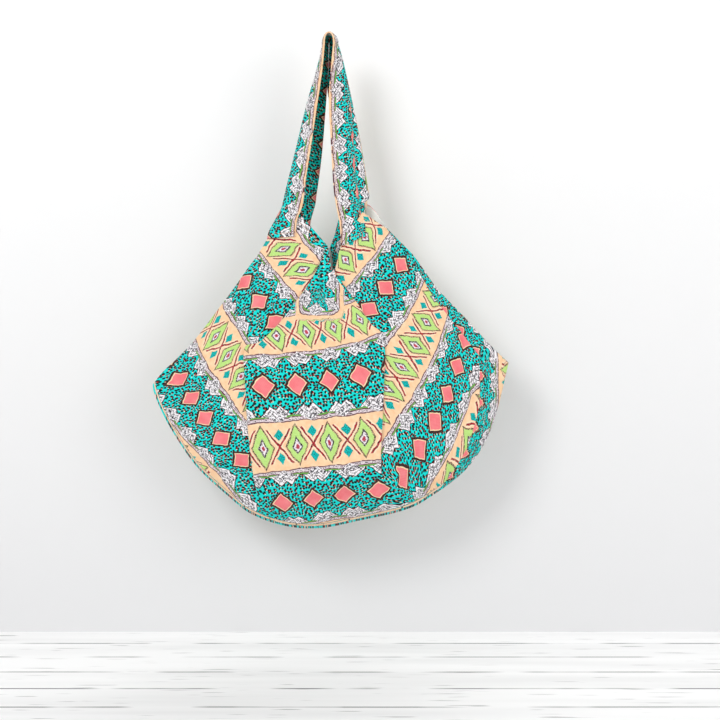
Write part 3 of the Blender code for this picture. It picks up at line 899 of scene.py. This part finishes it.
def stitches(name, lines):
    """One mesh of thread: a short rounded bar for each stitch along each line of points."""
    verts, faces = [], []
    # Each ring is a place along the stitch and a share of the radius
    rings = ((-0.5, 0.35), (-0.36, 1.0), (0.36, 1.0), (0.5, 0.35))
    for line, outward in lines:
        run = np.concatenate([[0], np.cumsum(np.linalg.norm(np.diff(line, axis=0), axis=1))])
        for middle in np.arange(STITCH_EVERY, run[-1] - STITCH_EVERY, STITCH_EVERY):
            ends = [
                np.array([np.interp(middle + half * STITCH_LENGTH, run, line[:, k]) for k in range(3)])
                for half in (-0.5, 0.5)
            ]
            up = np.array([np.interp(middle, run, outward[:, k]) for k in range(3)])
            way = ends[1] - ends[0]
            side = np.cross(way, up)
            side /= np.linalg.norm(side)
            up = np.cross(side, way) / np.linalg.norm(way)
            first = len(verts)
            for place, share in rings:
                centre = (ends[0] + ends[1]) / 2 + way * place
                for turn in np.arange(STITCH_SIDES) * 2 * np.pi / STITCH_SIDES:
                    verts.append(centre + STITCH_RADIUS * share * (np.cos(turn) * side + np.sin(turn) * up))
            for ring in range(len(rings) - 1):
                for i in range(STITCH_SIDES):
                    start = first + ring * STITCH_SIDES
                    a, b = start + i, start + (i + 1) % STITCH_SIDES
                    faces.append((a, b, b + STITCH_SIDES, a + STITCH_SIDES))
            last = first + (len(rings) - 1) * STITCH_SIDES
            faces.append(tuple(range(first + STITCH_SIDES - 1, first - 1, -1)))
            faces.append(tuple(range(last, last + STITCH_SIDES)))
    mesh = bpy.data.meshes.new(name)
    mesh.from_pydata([tuple(v) for v in verts], [], faces)
    mesh.materials.append(THREAD)
    mesh.shade_smooth()
    piece = bpy.data.objects.new(name, mesh)
    bpy.context.scene.collection.objects.link(piece)
    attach(piece, "root")
    return piece


def across_strap(middle, normals, width, distance):
    """The line on the strap's outer face this far from its near edge at every section."""
    line, outward = [], []
    for section, normal, run, reach in zip(middle, normals, width, distance):
        line.append([np.interp(reach, run, section[:, k]) for k in range(3)])
        outward.append([np.interp(reach, run, normal[:, k]) for k in range(3)])
    line, outward = np.array(line), np.array(outward)
    return line + outward * (STRAP_CLOTH / 2 + STITCH_RISE), outward


def hem_line(side, row, first, last):
    """The line of a hem's stitches below the mouth of a panel."""
    shares = np.linspace(first, last, 60)
    line = body_points(shares, row, side)
    outward = np.tile([0.0, OUTWARD[side], 0.0], (len(line), 1))
    return line + outward * (CLOTH / 2 + STITCH_RISE), outward


def make_strap():
    """A flat tube of cloth: its outer face, a rounded far edge, its inner face and a rounded near edge."""
    middle = strap_sections()
    normals = surface_normals(middle)
    outward = 1.0 if normals[10, len(middle[0]) // 2, 0] < 0 else -1.0
    normals *= outward
    across = np.gradient(middle, axis=1)
    across /= np.linalg.norm(across, axis=2, keepdims=True)
    width = np.concatenate([
        np.zeros((len(middle), 1)), np.cumsum(np.linalg.norm(np.diff(middle, axis=1), axis=2), axis=1),
    ], axis=1)
    step = np.linalg.norm(np.diff(middle, axis=0), axis=2)
    length = np.concatenate([np.zeros((1, step.shape[1])), np.cumsum(step, axis=0)])
    length -= length[len(length) // 2]
    half = STRAP_CLOTH / 2
    turn = np.linspace(-np.pi / 2, np.pi / 2, 5)[1:-1]
    far_rim = [middle[:, -1] + half * (np.cos(a) * across[:, -1] - np.sin(a) * normals[:, -1]) for a in turn]
    near_rim = [middle[:, 0] - half * (np.cos(a) * across[:, 0] - np.sin(a) * normals[:, 0]) for a in turn]
    grid = np.concatenate([
        middle + half * normals, np.stack(far_rim, axis=1),
        (middle - half * normals)[:, ::-1], np.stack(near_rim, axis=1),
    ], axis=1)
    on_right = smooth((np.arange(len(middle)) / len(middle) - 0.48) / 0.06)[:, None]
    from_row = np.interp(width * 1000, STRAP_ACROSS, STRAP_ON_LEFT) * (1 - on_right)
    from_row += np.interp(width * 1000, STRAP_ACROSS, STRAP_ON_RIGHT) * on_right
    outer_v = from_row / REPEAT_UP
    inner_v = (STRAP_INNER_PRINT + (width[:, -1:] - width) * STRAP_INNER_STRETCH) / PRINT_UP
    rims = len(turn)
    places_v = np.concatenate([
        outer_v, np.repeat(outer_v[:, -1:], rims, axis=1),
        inner_v[:, ::-1], np.repeat(outer_v[:, :1], rims, axis=1),
    ], axis=1)
    places_u = np.concatenate([
        length, np.repeat(length[:, -1:], rims, axis=1),
        length[:, ::-1], np.repeat(length[:, :1], rims, axis=1),
    ], axis=1) / STRAP_REPEAT
    piece = make_piece("strap_cloth", grid, np.stack([places_u, places_v], axis=-1), PRINTED, closed=True)
    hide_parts("shoulder_strap")
    near = across_strap(middle, normals, width, np.full(len(middle), STRAP_STITCH_INSET))
    far = across_strap(middle, normals, width, width[:, -1] - STRAP_STITCH_INSET)
    ends = []
    for i in (2, -3):
        on_arm = slice(1, STRAP_ARM_COLUMNS - 1)
        outward = normals[i, on_arm]
        ends.append((middle[i, on_arm] + outward * (STRAP_CLOTH / 2 + STITCH_RISE), outward))
    stitches("strap_stitches", [near, far] + ends)
    return piece


FRONT = make_front()
BACK = make_back()
LINING = make_lining()
STRAP = make_strap()
FACING = make_facing()

HEM_ROW = 0.02
stitches("mouth_stitches", [
    hem_line("front", HEM_ROW, 0.015, 0.44), hem_line("front", HEM_ROW, 0.62, 0.985),
    hem_line("back", HEM_ROW, 0.015, 0.44), hem_line("back", HEM_ROW, 0.62, 0.985),
])

CAMERA_AT = (0.0419, -2.4, -0.4601)
FRAME_WIDTH = 1.022
FLOOR_Z = -0.862
WALL_Y = 0.10
STAGE_HALF, STAGE_FRONT, WALL_TOP = 2.6, -3.4, 1.3
WORLD_LIGHT, WORLD_SEEN = 0.50, 0.95
SENSOR = 36
AIM = (0.0, 0.0, -0.45)


def plane(name, corners, material):
    mesh = bpy.data.meshes.new(name)
    mesh.from_pydata(corners, [], [(0, 1, 2, 3)])
    mesh.materials.append(material)
    piece = bpy.data.objects.new(name, mesh)
    bpy.context.scene.collection.objects.link(piece)
    return piece


def wall_material():
    """A matt wall that is there from the front only: from behind, and for lamps behind it, it is clear."""
    g = Graph("pale_wall", 0.9)
    height = g.node("SeparateXYZ", {0: g.node("NewGeometry").outputs["Position"]}).outputs[2]
    # Painted shade: the wall's colour darkens from a little above the bag's middle down to the floor, as the
    # lamps' light falls off
    shade = g.mix(g.step(height, FLOOR_Z, 0.1), linear(224, 224, 225), linear(247, 247, 247))
    g.feed(g.shader.inputs["Base Color"], shade)
    side = g.node("NewGeometry").outputs["Backfacing"]
    lamp = g.node("LightPath").outputs["Is Shadow Ray"]
    clear = g.node("BsdfTransparent").outputs[0]
    either = g.math("MAXIMUM", side, lamp)
    mixed = g.node("MixShader", {0: either, 1: g.shader.outputs[0], 2: clear}).outputs[0]
    g.feed(g.tree.nodes["Material Output"].inputs["Surface"], mixed)
    return g.material


def floor_material():
    """White-painted boards, with a faint dark joint between them and a little worn grain."""
    g = Graph("pale_floor", 0.75)
    place = g.node("SeparateXYZ", {0: g.node("NewGeometry").outputs["Position"]})
    x, y = place.outputs[0], place.outputs[1]
    wander = g.mul(g.noise(g.vector(x, y), 2.0), 0.004)
    joint = g.within(g.size(g.wrap(g.add(y, wander), 0.055)), 0.0022, 0.0012)
    broken = g.step(g.noise(g.vector(g.mul(x, 7.0), g.mul(y, 9.0)), 1.0, 2.0), 0.44, 0.54)
    grain = g.noise(g.vector(g.mul(x, 9.0), g.mul(y, 130.0)), 1.0, 2.0, 0.5)
    worn = g.step(g.noise(g.vector(g.mul(x, 1.5), g.mul(y, 14.0)), 1.0, 3.0), 0.4, 0.7)
    wood = g.mix(worn, linear(240, 240, 240), linear(228, 228, 228))
    wood = g.mix(g.mul(g.step(grain, 0.66, 0.70), 0.7), wood, linear(90, 90, 90))
    wood = g.mix(g.both(joint, broken), wood, linear(70, 70, 70))
    g.feed(g.shader.inputs["Base Color"], wood)
    return g.material


def make_stage():
    foot = [(STAGE_HALF, WALL_Y, FLOOR_Z), (-STAGE_HALF, WALL_Y, FLOOR_Z)]
    front = [(-STAGE_HALF, STAGE_FRONT, FLOOR_Z), (STAGE_HALF, STAGE_FRONT, FLOOR_Z)]
    top = [(STAGE_HALF, WALL_Y, WALL_TOP), (-STAGE_HALF, WALL_Y, WALL_TOP)]
    plane("floor", front + foot, floor_material())
    plane("wall", foot[::-1] + top, wall_material())


def make_light(name, place, aim, size, power):
    lamp = bpy.data.lights.new(name, "AREA")
    lamp.shape = "DISK"
    lamp.size = size
    lamp.energy = power
    light = bpy.data.objects.new(name, lamp)
    light.location = place
    light.rotation_euler = (Vector(aim) - Vector(place)).to_track_quat("-Z", "Y").to_euler()
    bpy.context.scene.collection.objects.link(light)


def make_world():
    world = bpy.data.worlds.new("studio")
    bpy.context.scene.world = world
    world.use_nodes = True
    tree = world.node_tree
    background = tree.nodes["Background"]
    path = tree.nodes.new("ShaderNodeLightPath")
    seen = path.outputs["Is Camera Ray"]
    for name in ("Is Glossy Ray", "Is Transmission Ray"):
        either = tree.nodes.new("ShaderNodeMath")
        either.operation = "MAXIMUM"
        tree.links.new(seen, either.inputs[0])
        tree.links.new(path.outputs[name], either.inputs[1])
        seen = either.outputs[0]
    strength = tree.nodes.new("ShaderNodeMapRange")
    strength.inputs["To Min"].default_value = WORLD_LIGHT
    strength.inputs["To Max"].default_value = WORLD_SEEN
    tree.links.new(seen, strength.inputs["Value"])
    tree.links.new(strength.outputs[0], background.inputs["Strength"])
    background.inputs["Color"].default_value = (1, 1, 1, 1)


make_stage()
make_world()
make_light("key", (-1.3, -2.2, 0.9), AIM, 1.2, 34)
make_light("fill", (1.6, -1.8, 0.1), AIM, 1.6, 16)
make_light("rear", (0.3, 2.2, 0.9), AIM, 1.6, 26)

camera = bpy.data.cameras.new("camera")
camera.sensor_width = SENSOR
camera.lens = SENSOR * -CAMERA_AT[1] / FRAME_WIDTH
viewer = bpy.data.objects.new("camera", camera)
viewer.location = CAMERA_AT
viewer.rotation_euler = (math.pi / 2, 0, 0)
bpy.context.scene.collection.objects.link(viewer)
bpy.context.scene.camera = viewer
bpy.context.scene.view_settings.view_transform = "Standard"
